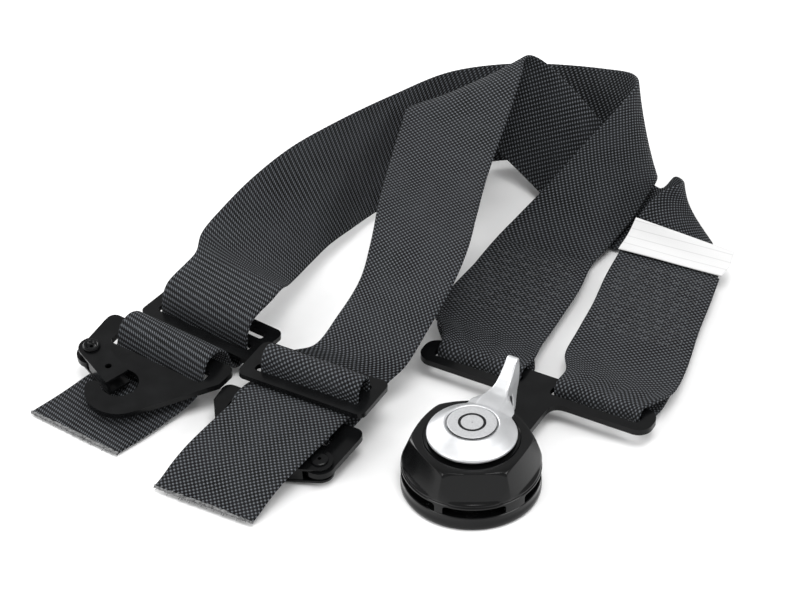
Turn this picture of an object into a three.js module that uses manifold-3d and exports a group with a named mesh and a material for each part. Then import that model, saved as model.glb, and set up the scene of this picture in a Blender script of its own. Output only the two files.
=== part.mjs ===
// Crotch-strap set of a racing harness: a rotary cam-lock buckle, a double tongue, two webbing straps
// and, at the far end of each strap, a three-bar slide and a snap hook with a sprung gate.
// Units are millimetres. +Z is up, the origin is the centre of the buckle's underside, and +Y runs from
// the buckle along the double tongue.

import * as THREE from 'three';
import { mergeVertices } from 'three/addons/utils/BufferGeometryUtils.js';
import Module from 'manifold-3d';

const wasm = await Module();
wasm.setup();

// ---------------------------------------------------------------- driving dimensions

const GAP = 0.3; // clearance between separate pieces

// webbing
const WEB_WIDTH = 51;
const WEB_THICKNESS = 1.6;
const STEPS_PER_SPAN = 3;
const LABEL_THICKNESS = 0.5;

// buckle
const BUCKLE_RADIUS = 31.5;
const BASE_HEIGHT = 6.9;
const SLOT_TOP = 11.9;
const SLOT_WIDTH = 28;
const COVER_TOP = 27.6;
const COVER_WALL = 3;
const COVER_CEILING = 25.2;
const BOSS_RADIUS = 9;
const BOSS_TOP = 12.4;
const SPINDLE_FLOOR = 2.5;
const SCREW_RADIUS = 1.6;
const SCREW_TOP = 16;
const SCREW_HEAD_RADIUS = 3.1;
const SCREW_HEAD_TOP = 2.6;
const SLOT_ANGLES = [0, 78, 150, 210, 282];
const POST_ANGLES = [39, 114, 246, 321];
const POST_CIRCLE = 25.4;
const POST_RADIUS = 3.1;
const PIN_CIRCLE = 20;
const PIN_RADIUS = 2.5;
const PIN_BOTTOM = 7.4;
const PIN_TOP = 21.2;
const PIN_LIFT = 3.6;
const RELEASE_ANGLE = 40;
const SPINDLE_RADIUS = 4;
const CAM_BOTTOM = 13;
const CAM_TOP = 15.4;
const CAM_RADIUS = 17.2;
const COLLAR_BOTTOM = 16.6;
const COLLAR_TOP = 18.2;
const COLLAR_RADIUS = 3.8;
const LEVER_BOTTOM = 28.6;

// double tongue
const TONGUE_THICKNESS = 3;
const TONGUE_MID = 9.4;
const TONGUE_HALF_LENGTH = 59;
const TONGUE_FRONT = 57;
const TONGUE_BACK = 73.5;
const TONGUE_SLOT_FRONT = 62;
const TONGUE_SLOT_BACK = 67.5;
const TONGUE_SLOT_INNER = 7.6;
const TONGUE_SLOT_OUTER = 52.6;

// three-bar slide
const SLIDE_WIDTH = 66;
const SLIDE_BAR = 6;
const SLIDE_SLOT = 4.5;
const SLIDE_SLOT_WIDTH = 54;
const SLIDE_THICKNESS = 2.5;

// snap hook
const HOOK_THICKNESS = 3;
const HOOK_BAR = 8;
const HOOK_SLOT = 8;
const HOOK_SLOT_WIDTH = 54;
const RIVET_X = 29;
const RIVET_Y = 22;
const RIVET_RADIUS = 2.2;
const LOBE_RADIUS = 7.5;
const THROAT_RADIUS = 8.7;
const GATE_SHEET = 1.2;
const GATE_TOP = 4.1;
const GATE_BOTTOM = -3.1;

// where the two hooks lie: centre of the webbing bar, turn about Z, nose-down slope, face up or over
const LEFT_HOOK = { x: -159, y: 3.6, z: 14.5, turn: -7, slope: 6.9, flipped: false };
const RIGHT_HOOK = { x: -90, y: -7, z: 10.5, turn: 0, slope: 6.3, flipped: true };

// ---------------------------------------------------------------- materials

function paint(color, roughness, metalness) {
  return new THREE.MeshStandardMaterial({ color, roughness, metalness });
}

const blackWeb = paint(0x3c3e42, 0.85, 0);
const blackSteel = paint(0x17181a, 0.35, 0.8);
const blackCasting = paint(0x121314, 0.3, 0.3);
const satinAlloy = paint(0xd6d8da, 0.3, 0.9);
const badgeEnamel = paint(0xb9bcc0, 0.35, 0.6);
const brightSteel = paint(0xa8abb0, 0.3, 1);
const labelCloth = paint(0xf2f2f0, 0.7, 0);

// ---------------------------------------------------------------- helpers

const root = new THREE.Group();
const radians = THREE.MathUtils.degToRad;

function add(name, geometry, material, parent = root) {
  const mesh = new THREE.Mesh(geometry, material);
  mesh.name = name;
  parent.add(mesh);
  return mesh;
}

// direction at an angle measured clockwise from +Y, seen from above
function compass(angle, radius, z = 0) {
  return new THREE.Vector3(radius * Math.sin(radians(angle)), radius * Math.cos(radians(angle)), z);
}

function toSolid(geometry) {
  const bare = geometry.clone();
  for (const name of Object.keys(bare.attributes)) {
    if (name !== 'position') bare.deleteAttribute(name);
  }
  const merged = mergeVertices(bare, 1e-4);
  return new wasm.Manifold(new wasm.Mesh({
    numProp: 3,
    vertProperties: new Float32Array(merged.attributes.position.array),
    triVerts: new Uint32Array(merged.index.array),
  }));
}

function toGeometry(solid) {
  const mesh = solid.getMesh();
  const geometry = new THREE.BufferGeometry();
  geometry.setAttribute('position', new THREE.BufferAttribute(mesh.vertProperties, 3));
  geometry.setIndex(new THREE.BufferAttribute(mesh.triVerts, 1));
  geometry.computeVertexNormals();
  return geometry;
}

function combine(first, joined, removed) {
  let solid = toSolid(first);
  for (const geometry of joined) solid = solid.add(toSolid(geometry));
  for (const geometry of removed) solid = solid.subtract(toSolid(geometry));
  return toGeometry(solid);
}

// a lathe turned about Z: profile points are [radius, z]
function turned(profile, segments = 40) {
  const points = profile.map(([radius, z]) => new THREE.Vector2(radius, z));
  return new THREE.LatheGeometry(points, segments).rotateX(Math.PI / 2);
}

// an upright cylinder from z = low to z = high
function rod(radius, low, high, x = 0, y = 0, sides = 16) {
  const geometry = new THREE.CylinderGeometry(radius, radius, high - low, sides);
  return geometry.rotateX(Math.PI / 2).translate(x, y, (low + high) / 2);
}

// a flat ring lying in the XY plane
function ring(inner, outer, low, high, segments = 32) {
  return turned([[inner, low], [outer, low], [outer, high], [inner, high], [inner, low]], segments);
}

// a flat plate cut from a shape, its middle plane at z = mid
function plate(shape, thickness, mid, curveSegments = 6) {
  const settings = { depth: thickness, bevelEnabled: false, curveSegments };
  const geometry = new THREE.ExtrudeGeometry(shape, settings);
  return geometry.translate(0, 0, mid - thickness / 2);
}

function roundedRectangle(target, left, bottom, right, top, radius) {
  target.moveTo(left + radius, bottom);
  target.lineTo(right - radius, bottom);
  target.absarc(right - radius, bottom + radius, radius, -Math.PI / 2, 0);
  target.lineTo(right, top - radius);
  target.absarc(right - radius, top - radius, radius, 0, Math.PI / 2);
  target.lineTo(left + radius, top);
  target.absarc(left + radius, top - radius, radius, Math.PI / 2, Math.PI);
  target.lineTo(left, bottom + radius);
  target.absarc(left + radius, bottom + radius, radius, Math.PI, Math.PI * 1.5);
  return target;
}

// a helical spring about the Z axis
function spring(radius, wire, low, high, turns, sides = 6, stepsPerTurn = 8) {
  class Helix extends THREE.Curve {
    getPoint(t, target = new THREE.Vector3()) {
      const angle = t * turns * 2 * Math.PI;
      const rise = low + wire + (high - low - 2 * wire) * t;
      return target.set(radius * Math.cos(angle), radius * Math.sin(angle), rise);
    }
  }
  const section = new THREE.Shape();
  section.absarc(0, 0, wire, 0, 2 * Math.PI);
  return new THREE.ExtrudeGeometry(section, {
    steps: Math.round(turns * stepsPerTurn),
    curveSegments: sides / 2,
    extrudePath: new Helix(),
    bevelEnabled: false,
  });
}

// A strip of webbing. Each station is the pair of its two edge points; the edges run smoothly through
// them, and straight cross lines join the edges. Returns one closed solid.
function webbing(stations, thickness = WEB_THICKNESS) {
  const edges = [0, 1].map((side) => {
    const points = stations.map((station) => new THREE.Vector3(...station[side]));
    return new THREE.CatmullRomCurve3(points, false, 'centripetal');
  });
  const count = (stations.length - 1) * STEPS_PER_SPAN;
  const vertices = [];
  for (let i = 0; i <= count; i += 1) {
    const t = i / count;
    const [left, right] = edges.map((edge) => edge.getPoint(t));
    const across = right.clone().sub(left);
    for (const [point, edge] of [[left, edges[0]], [right, edges[1]]]) {
      const along = edge.getTangent(t);
      const normal = across.clone().cross(along).normalize().multiplyScalar(thickness / 2);
      vertices.push(point.clone().add(normal), point.clone().sub(normal));
    }
  }
  // corner order round a section: left top, left bottom, right bottom, right top
  const corners = [0, 1, 3, 2];
  const indices = [];
  for (let i = 0; i < count; i += 1) {
    for (let k = 0; k < 4; k += 1) {
      const a = i * 4 + corners[k];
      const b = i * 4 + corners[(k + 1) % 4];
      indices.push(a, b + 4, b, a, a + 4, b + 4);
    }
  }
  const last = count * 4;
  indices.push(0, 1, 3, 0, 3, 2);
  indices.push(last, last + 3, last + 1, last, last + 2, last + 3);
  const geometry = new THREE.BufferGeometry();
  const positions = vertices.flatMap((vertex) => vertex.toArray());
  geometry.setAttribute('position', new THREE.Float32BufferAttribute(positions, 3));
  geometry.setIndex(indices);
  geometry.computeVertexNormals();
  return geometry;
}

// ---------------------------------------------------------------- buckle

function buckleBase() {
  const bore = SPINDLE_RADIUS + GAP;
  const profile = [
    [0, 0], [BUCKLE_RADIUS - 1, 0], [BUCKLE_RADIUS, 1], [BUCKLE_RADIUS, BASE_HEIGHT],
    [BOSS_RADIUS, BASE_HEIGHT], [BOSS_RADIUS, BOSS_TOP], [bore, BOSS_TOP], [bore, SPINDLE_FLOOR],
    [0, SPINDLE_FLOOR],
  ];
  const holes = POST_ANGLES.flatMap((angle) => {
    const at = compass(angle, POST_CIRCLE);
    const shank = rod(SCREW_RADIUS + 0.4, -1, BASE_HEIGHT + 1, at.x, at.y);
    const head = rod(SCREW_HEAD_RADIUS + 0.4, -1, SCREW_HEAD_TOP + GAP, at.x, at.y);
    return [shank, head];
  });
  return combine(turned(profile), [], holes);
}

function buckleCover() {
  const inside = BUCKLE_RADIUS - COVER_WALL;
  const low = BASE_HEIGHT + GAP;
  const mouth = SPINDLE_RADIUS + 1;
  const profile = [
    [inside, low], [BUCKLE_RADIUS, low], [BUCKLE_RADIUS, 17], [30.2, 23.5], [28.4, 26.6], [27, COVER_TOP],
    [mouth, COVER_TOP], [mouth, COVER_CEILING], [25.6, COVER_CEILING], [inside, 20], [inside, low],
  ];
  const posts = POST_ANGLES.map((angle) => {
    const at = compass(angle, POST_CIRCLE);
    return rod(POST_RADIUS, low, COVER_CEILING + 0.4, at.x, at.y);
  });
  const notches = SLOT_ANGLES.map((angle) => {
    const notch = new THREE.BoxGeometry(SLOT_WIDTH, 14, SLOT_TOP - low + 1);
    return notch.translate(0, BUCKLE_RADIUS, (SLOT_TOP + low - 1) / 2).rotateZ(-radians(angle));
  });
  const pilots = POST_ANGLES.map((angle) => {
    const at = compass(angle, POST_CIRCLE);
    return rod(SCREW_RADIUS + GAP, low - 1, SCREW_TOP + 1, at.x, at.y);
  });
  return combine(turned(profile), posts, [...notches, ...pilots]);
}

function baseScrew(angle) {
  const at = compass(angle, POST_CIRCLE);
  const shank = rod(SCREW_RADIUS, 1.5, SCREW_TOP, at.x, at.y);
  const head = rod(SCREW_HEAD_RADIUS, GAP, SCREW_HEAD_TOP, at.x, at.y);
  return combine(shank, [head], []);
}

// one helical ramp on the cam: it rises away from its pin as the lever turns
function camRamp(angle) {
  const steps = 5;
  const reach = RELEASE_ANGLE + 4;
  const inner = 14;
  const outer = CAM_RADIUS - 0.5;
  const bottom = CAM_BOTTOM + 0.5;
  const vertices = [];
  for (let i = 0; i <= steps; i += 1) {
    const turn = (reach * i) / steps;
    const top = CAM_TOP + 0.05 + (PIN_LIFT * turn) / RELEASE_ANGLE;
    const section = [[inner, bottom], [outer, bottom], [outer, top], [inner, top]];
    for (const [radius, z] of section) {
      vertices.push(...compass(angle + turn, radius, z).toArray());
    }
  }
  const indices = [];
  for (let i = 0; i < steps; i += 1) {
    for (let k = 0; k < 4; k += 1) {
      const a = i * 4 + k;
      const b = i * 4 + ((k + 1) % 4);
      indices.push(a, b, b + 4, a, b + 4, a + 4);
    }
  }
  const last = steps * 4;
  indices.push(0, 2, 1, 0, 3, 2, last, last + 1, last + 2, last, last + 2, last + 3);
  const geometry = new THREE.BufferGeometry();
  geometry.setAttribute('position', new THREE.Float32BufferAttribute(vertices, 3));
  geometry.setIndex(indices);
  return geometry;
}

function camDisc() {
  const disc = ring(SPINDLE_RADIUS + GAP, CAM_RADIUS, CAM_BOTTOM, CAM_TOP, 40);
  return combine(disc, SLOT_ANGLES.map(camRamp), []);
}

function lockingPin(angle) {
  const at = compass(angle, PIN_CIRCLE);
  const shaft = rod(PIN_RADIUS, PIN_BOTTOM, PIN_TOP, at.x, at.y);
  const collar = rod(COLLAR_RADIUS, COLLAR_BOTTOM, COLLAR_TOP, at.x, at.y);
  return combine(shaft, [collar], []);
}

// two turns, so that it still has room when the pin is fully lifted
function pinSpring(angle) {
  const at = compass(angle, PIN_CIRCLE);
  return spring(3.4, 0.4, COLLAR_TOP + GAP, COVER_CEILING - GAP, 2).translate(at.x, at.y, 0);
}

// the disc of the release lever with its arm, which sweeps up into a finger blade and down into a leg
function releaseLever() {
  const hub = SPINDLE_RADIUS + GAP;
  const disc = turned([
    [0, 32.6], [hub, 32.6], [hub, LEVER_BOTTOM], [20.3, LEVER_BOTTOM], [20.3, 30.4],
    [12.4, 35.8], [11.6, 35.8], [11.6, 34.8], [0, 34.8],
  ]);
  const side = new THREE.Shape();
  side.moveTo(14, 29.6);
  side.lineTo(29, 30.4);
  side.quadraticCurveTo(32.8, 30, 33.4, 26);
  side.lineTo(33.8, 18.6);
  side.lineTo(36.6, 18.6);
  side.lineTo(37.8, 28);
  side.quadraticCurveTo(41, 37, 41, 42.5);
  side.quadraticCurveTo(40, 46.5, 36.4, 44.4);
  side.quadraticCurveTo(31.5, 38, 24, 35.6);
  side.lineTo(16, 33.6);
  const blade = new THREE.ExtrudeGeometry(side, { depth: 7, bevelEnabled: false, curveSegments: 6 });
  // the side outline is drawn in (Y, Z), so it is turned upright and centred on X
  blade.applyMatrix4(new THREE.Matrix4().set(0, 0, 1, -3.5, 1, 0, 0, 0, 0, 1, 0, 0, 0, 0, 0, 1));
  return combine(disc, [blade], []);
}

function addBuckle() {
  add('buckle_base', buckleBase(), blackCasting);
  add('buckle_cover', buckleCover(), blackCasting);
  add('spindle', rod(SPINDLE_RADIUS, SPINDLE_FLOOR + GAP, 32.3), brightSteel);
  add('spindle_clip', ring(SPINDLE_RADIUS + GAP, 7, 23.9, COVER_CEILING - GAP), brightSteel);
  add('cam_disc', camDisc(), brightSteel);
  add('lever_spring', spring(8.5, 0.6, CAM_TOP + 0.4, 23.4, 4), brightSteel);
  add('release_lever', releaseLever(), satinAlloy);
  add('lever_badge', rod(11.2, 35.1, 36.4, 0, 0, 48), badgeEnamel);
  POST_ANGLES.forEach((angle, index) => {
    add(`base_screw_${index + 1}`, baseScrew(angle), brightSteel);
  });
  SLOT_ANGLES.forEach((angle, index) => {
    add(`locking_pin_${index + 1}`, lockingPin(angle), brightSteel);
    add(`pin_spring_${index + 1}`, pinSpring(angle), brightSteel);
  });
}

// ---------------------------------------------------------------- double tongue

function doubleTongue() {
  const stem = 12;
  const fillet = 7;
  const tip = 13;
  const corner = 7;
  const shape = new THREE.Shape();
  shape.moveTo(-stem + 4, tip);
  shape.lineTo(stem - 4, tip);
  shape.quadraticCurveTo(stem, tip, stem, tip + 4);
  shape.lineTo(stem, TONGUE_FRONT - fillet);
  shape.quadraticCurveTo(stem, TONGUE_FRONT, stem + fillet, TONGUE_FRONT);
  shape.lineTo(TONGUE_HALF_LENGTH - corner, TONGUE_FRONT);
  shape.absarc(TONGUE_HALF_LENGTH - corner, TONGUE_FRONT + corner, corner, -Math.PI / 2, 0);
  shape.lineTo(TONGUE_HALF_LENGTH, TONGUE_BACK - corner);
  shape.absarc(TONGUE_HALF_LENGTH - corner, TONGUE_BACK - corner, corner, 0, Math.PI / 2);
  shape.lineTo(-TONGUE_HALF_LENGTH + corner, TONGUE_BACK);
  shape.absarc(-TONGUE_HALF_LENGTH + corner, TONGUE_BACK - corner, corner, Math.PI / 2, Math.PI);
  shape.lineTo(-TONGUE_HALF_LENGTH, TONGUE_FRONT + corner);
  shape.absarc(-TONGUE_HALF_LENGTH + corner, TONGUE_FRONT + corner, corner, Math.PI, Math.PI * 1.5);
  shape.lineTo(-stem - fillet, TONGUE_FRONT);
  shape.quadraticCurveTo(-stem, TONGUE_FRONT, -stem, TONGUE_FRONT - fillet);
  shape.lineTo(-stem, tip + 4);
  shape.quadraticCurveTo(-stem, tip, -stem + 4, tip);
  for (const side of [-1, 1]) {
    const left = side < 0 ? -TONGUE_SLOT_OUTER : TONGUE_SLOT_INNER;
    const right = side < 0 ? -TONGUE_SLOT_INNER : TONGUE_SLOT_OUTER;
    const slot = new THREE.Path();
    shape.holes.push(roundedRectangle(slot, left, TONGUE_SLOT_FRONT, right, TONGUE_SLOT_BACK, 1.5));
  }
  const latch = new THREE.Path();
  latch.absarc(0, PIN_CIRCLE, PIN_RADIUS + 0.8, 0, 2 * Math.PI);
  shape.holes.push(latch);
  return plate(shape, TONGUE_THICKNESS, TONGUE_MID);
}

// ---------------------------------------------------------------- straps

// half a turn of webbing round the tongue's rear bar, from the top layer to the bottom layer
function tongueLoop(left, right) {
  const middle = TONGUE_SLOT_BACK + 2.5;
  const radius = 4;
  const stations = [];
  for (let angle = 90; angle <= 270; angle += 30) {
    const y = middle + radius * Math.cos(radians(angle));
    const z = TONGUE_MID + radius * Math.sin(radians(angle));
    stations.push([[left, y, z], [right, y, z]]);
  }
  return stations;
}

// stations across a hook's webbing run: [distance toward the nose, height, sideways shift]
function runStations(hook, run) {
  const side = hook.flipped ? -1 : 1;
  return run.map(([forward, height, shift = 0]) => {
    const turn = radians(hook.turn);
    return [-1, 1].map((end) => {
      const sideways = side * end * WEB_WIDTH / 2 + shift;
      const x = hook.x + sideways * Math.cos(turn) + forward * Math.sin(turn);
      const y = hook.y + sideways * Math.sin(turn) - forward * Math.cos(turn);
      return [x, y, height];
    });
  });
}

// Left strap: from its sewn end on top, round the tongue, out along the ground, up on edge round a
// hairpin, and back over the slide's rear bar, through slide and hook to its free tail.
const leftStrap = [
  [[-69, 160, 7.6], [-20, 166, 7.6]],
  [[-70, 140, 7.2], [-16, 144, 7.2]],
  [[-71, 115, 7.2], [-14, 117, 7.2]],
  [[-69, 94, 8.6], [-12, 95, 8.6]],
  [[-57, 80, 12], [-8.5, 80, 12]],
  ...tongueLoop(-52, -8.5),
  [[-57, 80, 4.6], [-8.5, 80, 4.6]],
  [[-67, 94, 3.4], [-15, 94, 3.4]],
  [[-70, 115, 3.6], [-17, 116, 3.4]],
  [[-72, 140, 3.8], [-19, 142, 3.4]],
  [[-72, 166, 4.2], [-21, 170, 4.2]],
  [[-67, 180, 11], [-19, 187, 6]],
  [[-60, 193, 21], [-17, 205, 9]],
  [[-49, 216, 38], [-17, 223, 13]],
  [[-39, 239, 53], [-19, 237, 13]],
  [[-38, 251, 56], [-26, 246, 9]],
  [[-45, 261, 54], [-36, 251, 4.5]],
  [[-63, 267, 48], [-56, 247, 2.6]],
  [[-94, 264, 43], [-84, 237, 2.4]],
  [[-115, 254, 42], [-102, 227, 2.8]],
  [[-135, 235, 42], [-117, 209, 3]],
  [[-149, 203, 43], [-127, 182, 3.4]],
  [[-161, 162, 46], [-134, 155, 5]],
  [[-170, 134, 45], [-135, 133, 9]],
  [[-177, 110, 40], [-136, 113, 12]],
  [[-180, 88, 36], [-134, 90, 16]],
  [[-181, 68, 32], [-131, 66, 21]],
];

// over the slide's rear and middle bars, down its front slot, under its front bar, up, over the hook's
// bar and down to the tail
const leftRun = [
  [-50, 29.5, 1], [-42, 27.6, 1], [-35, 26, 0.5], [-29.4, 23.6], [-26, 19.4], [-24.8, 14], [-24.6, 9.6],
  [-23.2, 5.8], [-19.8, 4.4], [-16, 5.2], [-13.2, 8.4], [-11.6, 12.6], [-9.4, 17.4], [-5.4, 21.4],
  [0, 22.8], [5, 20.8], [7.4, 16], [8.6, 11], [12.5, 7.4], [20, 4.8, -1], [30, 3.2, -3],
  [44, 2.2, -5], [61, 1.6, -8],
];

// Right strap: sewn end under the label, round the tongue, a low hairpin, under the left strap, up to
// its peak, over, and down under the slide's rear bar, through slide and hook to its free tail.
const rightStrap = [
  [[-12, 180, 8], [40, 182, 8]],
  [[-10, 160, 7.4], [44, 162, 7.4]],
  [[-6, 138, 7.2], [48, 140, 7.2]],
  [[-3, 114, 7.4], [54, 114, 7.4]],
  [[0, 95, 8.6], [57, 94, 8.6]],
  [[7.5, 80, 12], [56, 80, 12]],
  ...tongueLoop(8.5, 52),
  [[8.5, 80, 4.6], [55, 80, 4.6]],
  [[3, 95, 3.4], [54, 95, 3.4]],
  [[-1, 114, 3.2], [51, 114, 3.2]],
  [[-7, 138, 3.2], [44, 140, 3.2]],
  [[-11, 160, 3.4], [40, 162, 3.4]],
  [[-13, 179, 4.6], [38, 182, 4]],
  [[-11.5, 189, 11], [36, 191, 3.6]],
  [[-9, 198, 21], [31, 201, 3.2]],
  [[-4, 207, 28.5], [25, 210, 2.8]],
  [[2, 212, 31.8], [18, 216.5, 2.6]],
  [[3, 218, 30], [11, 217, 2.4]],
  [[-4, 227, 26], [-1, 206, 2.4]],
  [[-17, 237, 8], [-16, 188, 2.4]],
  [[-36, 238, 18], [-42, 194, 2.6]],
  [[-52, 238, 38], [-68, 208, 5]],
  [[-84, 246, 55], [-98, 218, 15]],
  [[-91, 242, 61], [-118, 216, 26]],
  [[-92, 234, 64], [-134, 208, 36]],
  [[-88, 222, 63], [-138, 196, 41]],
  [[-83, 199, 55], [-135, 184, 40]],
  [[-74, 158, 45], [-125, 151, 36]],
  [[-66, 132, 42], [-116, 125, 35]],
  [[-58, 107, 40], [-107, 101, 31]],
  [[-54, 83, 35], [-101, 80, 25]],
  [[-54, 60, 26], [-99, 54, 21]],
  [[-55, 40, 18], [-101, 36, 16]],
];

// under the slide to the hook's bar, round that bar and back, up over the slide's middle bar, down
// behind its front bar, and forward under that bar and over the hook to the tail
const rightRun = [
  [-37, 12.6, 5], [-29, 9.4, 4.6], [-20, 7, 3.4], [-12, 5.2, 2], [-5, 4.4, 1], [0, 4.4, 0.4],
  [4.4, 5.8], [7.6, 9.2], [7.9, 12], [5, 14.4], [0, 15.1, 0.4], [-4, 15.2, 1], [-10, 14.6, 2.6],
  [-16, 14.4, 4], [-19.8, 16.4, 4.8], [-21.2, 20.5, 5], [-21.8, 24.5, 5], [-20.6, 28.4, 5],
  [-17, 30.4, 5], [-13.2, 29, 5], [-11.2, 25.5, 5], [-10.8, 20.8, 5], [-9, 18, 4.6], [-5, 17.5, 4.2],
  [1, 17.3, 3.8], [8, 16.6, 3], [20, 14.8, 1], [31, 13, -1], [42, 10.8, -3], [52, 7.6, -4.6],
  [59, 4.4, -5.6], [64, 2.6, -6.4],
];

function strapLabel() {
  const stations = [
    [[-12.5, 179, 9.8], [40.5, 183, 9.6]],
    [[-11.4, 186, 13.2], [42, 188.5, 12]],
    [[-10.2, 193.5, 20.4], [41.5, 195, 16.6]],
  ];
  return webbing(stations, LABEL_THICKNESS);
}

// ---------------------------------------------------------------- hook end

function hookShape() {
  const bar = HOOK_BAR / 2;
  const shape = new THREE.Shape();
  shape.moveTo(34, -bar);
  shape.lineTo(-31, -bar);
  shape.absarc(-31, 0, bar, radians(270), radians(180), true);
  shape.lineTo(-34.7, 8);
  shape.lineTo(-11, 43.5);
  shape.quadraticCurveTo(-6, 50, 3, 50);
  shape.quadraticCurveTo(12, 50, 17.5, 42);
  shape.absarc(14.8, 39, 3.4, radians(30), radians(-100), true);
  shape.lineTo(9, 39.2);
  shape.absarc(5, 31, THROAT_RADIUS, radians(75), radians(270), false);
  shape.lineTo(20, 31 - THROAT_RADIUS);
  shape.absarc(RIVET_X, RIVET_Y, LOBE_RADIUS, radians(177), radians(-10), true);
  shape.lineTo(38, 2);
  shape.absarc(34, 0, bar, 0, radians(-90), true);
  const slot = HOOK_SLOT_WIDTH / 2;
  shape.holes.push(roundedRectangle(new THREE.Path(), -slot, bar, slot, bar + HOOK_SLOT, 2));
  shape.holes.push(rivetBore());
  return shape;
}

function rivetBore() {
  const bore = new THREE.Path();
  bore.absarc(RIVET_X, RIVET_Y, RIVET_RADIUS + GAP, 0, 2 * Math.PI);
  return bore;
}

// the gate: two flanges over and under the hook plate, joined by a web inside the hook's mouth
function hookGate() {
  const flange = new THREE.Shape();
  flange.absarc(RIVET_X, RIVET_Y, 6.2, radians(65), radians(-120), true);
  flange.lineTo(4.6, 25.4);
  flange.lineTo(8, 37);
  flange.lineTo(31.6, 27.6);
  flange.holes.push(rivetBore());
  const eye = new THREE.Path();
  eye.absarc(14, 28, 1.6, 0, 2 * Math.PI);
  flange.holes.push(eye);
  const web = new THREE.Shape();
  web.moveTo(24, 29);
  web.lineTo(7.6, 35.6);
  web.lineTo(8, 36.8);
  web.lineTo(24.5, 30.1);
  const top = plate(flange, GATE_SHEET, GATE_TOP + GATE_SHEET / 2, 8);
  const bottom = plate(flange, GATE_SHEET, GATE_BOTTOM + GATE_SHEET / 2, 8);
  const overlap = 0.2;
  const height = GATE_TOP - GATE_BOTTOM;
  const wall = plate(web, height, GATE_BOTTOM + height / 2 + overlap);
  return combine(top, [wall, bottom], []);
}

function gateRivet() {
  const high = GATE_TOP + GATE_SHEET + GAP;
  const low = GATE_BOTTOM - GAP;
  const profile = [[0, low - 0.9], [3.4, low - 0.9], [4, low], [RIVET_RADIUS, low]];
  profile.push([RIVET_RADIUS, high], [4, high], [3.2, high + 1.2], [0, high + 1.2]);
  return turned(profile, 20).translate(RIVET_X, RIVET_Y, 0);
}

function slide() {
  const half = SLIDE_WIDTH / 2;
  const depth = SLIDE_BAR * 1.5 + SLIDE_SLOT;
  const shape = roundedRectangle(new THREE.Shape(), -half, -depth, half, depth, 4);
  const end = SLIDE_SLOT_WIDTH / 2;
  const near = SLIDE_BAR / 2;
  for (const bottom of [near, -near - SLIDE_SLOT]) {
    const slot = new THREE.Path();
    shape.holes.push(roundedRectangle(slot, -end, bottom, end, bottom + SLIDE_SLOT, 1.4));
  }
  return plate(shape, SLIDE_THICKNESS, 0, 6);
}

// A hook's own frame has X along the bar and Y toward the nose; it is turned to point Y along -Y of
// the part, sloped nose-down about its bar, and rolled over when the strap arrives face down.
function hookFrame(hook) {
  const frame = new THREE.Group();
  frame.position.set(hook.x, hook.y, hook.z);
  frame.rotation.order = 'ZXY';
  frame.rotation.z = Math.PI + radians(hook.turn);
  frame.rotation.x = -radians(hook.slope);
  frame.rotation.y = hook.flipped ? Math.PI : 0;
  root.add(frame);
  return frame;
}

function addHook(side, hook) {
  const frame = hookFrame(hook);
  add(`${side}_hook_plate`, plate(hookShape(), HOOK_THICKNESS, 0), blackSteel, frame);
  add(`${side}_gate`, hookGate(), blackSteel, frame);
  add(`${side}_gate_rivet`, gateRivet(), blackSteel, frame);
  const coil = spring(3.6, 0.35, HOOK_THICKNESS / 2 + GAP, GATE_TOP - GAP, 1.5);
  add(`${side}_gate_spring`, coil.translate(RIVET_X, RIVET_Y, 0), brightSteel, frame);
}

function addSlide(side, hook, back, z, shift) {
  const mesh = add(`${side}_slide`, slide(), blackSteel);
  const turn = radians(hook.turn);
  mesh.position.set(hook.x + shift - back * Math.sin(turn), hook.y + back * Math.cos(turn), z);
  mesh.rotation.z = turn;
}

// ---------------------------------------------------------------- assembly

addBuckle();
add('double_tongue', doubleTongue(), blackSteel);
add('left_strap', webbing([...leftStrap, ...runStations(LEFT_HOOK, leftRun)]), blackWeb);
add('right_strap', webbing([...rightStrap, ...runStations(RIGHT_HOOK, rightRun)]), blackWeb);
add('strap_label', strapLabel(), labelCloth);
addHook('left', LEFT_HOOK);
addHook('right', RIGHT_HOOK);
addSlide('left', LEFT_HOOK, 30, 10.2, 0);
addSlide('right', RIGHT_HOOK, 16, 20.4, 4);

export default root;
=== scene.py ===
"""Looks for the harness crotch-strap set: webbing, label, buckle, lever, tongue, slides and hooks.

Plain numbers in outlines and stations are in the CAD's millimetres, and MM scales them to metres.
The frame is the CAD's own: the origin is the centre of the buckle's underside, +Y runs along the
double tongue and +Z is up.
"""

import math
import random

import bmesh
import bpy
import numpy as np
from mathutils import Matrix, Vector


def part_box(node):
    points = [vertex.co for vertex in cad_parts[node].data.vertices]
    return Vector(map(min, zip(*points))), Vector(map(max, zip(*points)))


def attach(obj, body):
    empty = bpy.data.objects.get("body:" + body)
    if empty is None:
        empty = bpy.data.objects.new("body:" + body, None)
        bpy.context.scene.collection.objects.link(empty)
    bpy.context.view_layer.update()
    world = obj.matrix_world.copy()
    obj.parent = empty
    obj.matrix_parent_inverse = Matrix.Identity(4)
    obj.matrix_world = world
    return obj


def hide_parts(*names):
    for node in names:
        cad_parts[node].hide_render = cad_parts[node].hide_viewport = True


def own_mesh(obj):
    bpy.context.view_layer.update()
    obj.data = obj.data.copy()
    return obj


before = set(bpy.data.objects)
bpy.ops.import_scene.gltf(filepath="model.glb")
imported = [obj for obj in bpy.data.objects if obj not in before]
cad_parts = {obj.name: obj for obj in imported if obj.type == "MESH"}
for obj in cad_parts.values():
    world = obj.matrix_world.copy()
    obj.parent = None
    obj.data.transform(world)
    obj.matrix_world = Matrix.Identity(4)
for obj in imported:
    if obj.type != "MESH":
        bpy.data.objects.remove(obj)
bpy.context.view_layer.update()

MM = 0.001
WEB = 51
WEB_WIDTH = WEB * MM
WEB_THICKNESS = 1.6 * MM
LABEL_THICKNESS = 0.5 * MM

# ------------------------------------------------------------------ camera

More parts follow.
